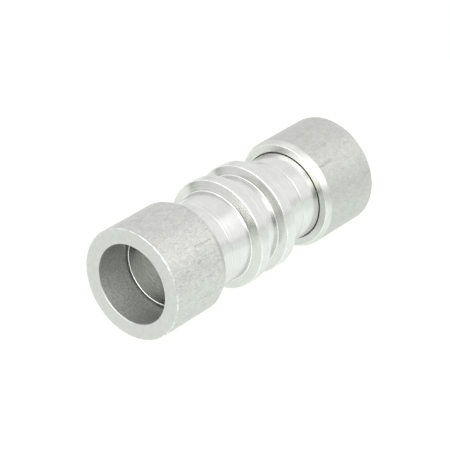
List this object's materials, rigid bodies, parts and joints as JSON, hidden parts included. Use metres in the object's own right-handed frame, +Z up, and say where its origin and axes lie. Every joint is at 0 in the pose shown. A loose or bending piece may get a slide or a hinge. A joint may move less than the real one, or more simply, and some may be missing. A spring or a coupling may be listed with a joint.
{
  "type": "swage ring tube coupler",
  "caption": "Straight aluminium tube coupler: a double-flanged turned body with a plain socket at each end, and press rings that slide along its sleeves to grip the tubes.",
  "frame": {"origin": "middle of the coupler on its axis, halfway between the two flanges", "axes": "+X along the bore towards the right ring, +Z up as the coupler lies on its side"},
  "size_m": [0.0644, 0.024, 0.024],
  "materials": {
    "turned_aluminium": "fine turned, bright edges",
    "blasted_aluminium": "matt tumbled grain"
  },
  "bodies": {
    "body": {"coupler_body": "turned_aluminium"},
    "left_ring": {"swage_ring_left": "blasted_aluminium"},
    "right_ring": {"swage_ring_right": "blasted_aluminium"}
  },
  "joints": [
    {"name": "left_ring_press", "type": "slide", "parent": "body", "child": "left_ring", "axis": [1, 0, 0], "range_m": [0, 0.0058]},
    {"name": "right_ring_press", "type": "slide", "parent": "body", "child": "right_ring", "axis": [-1, 0, 0], "range_m": [0, 0.0058]}
  ]
}
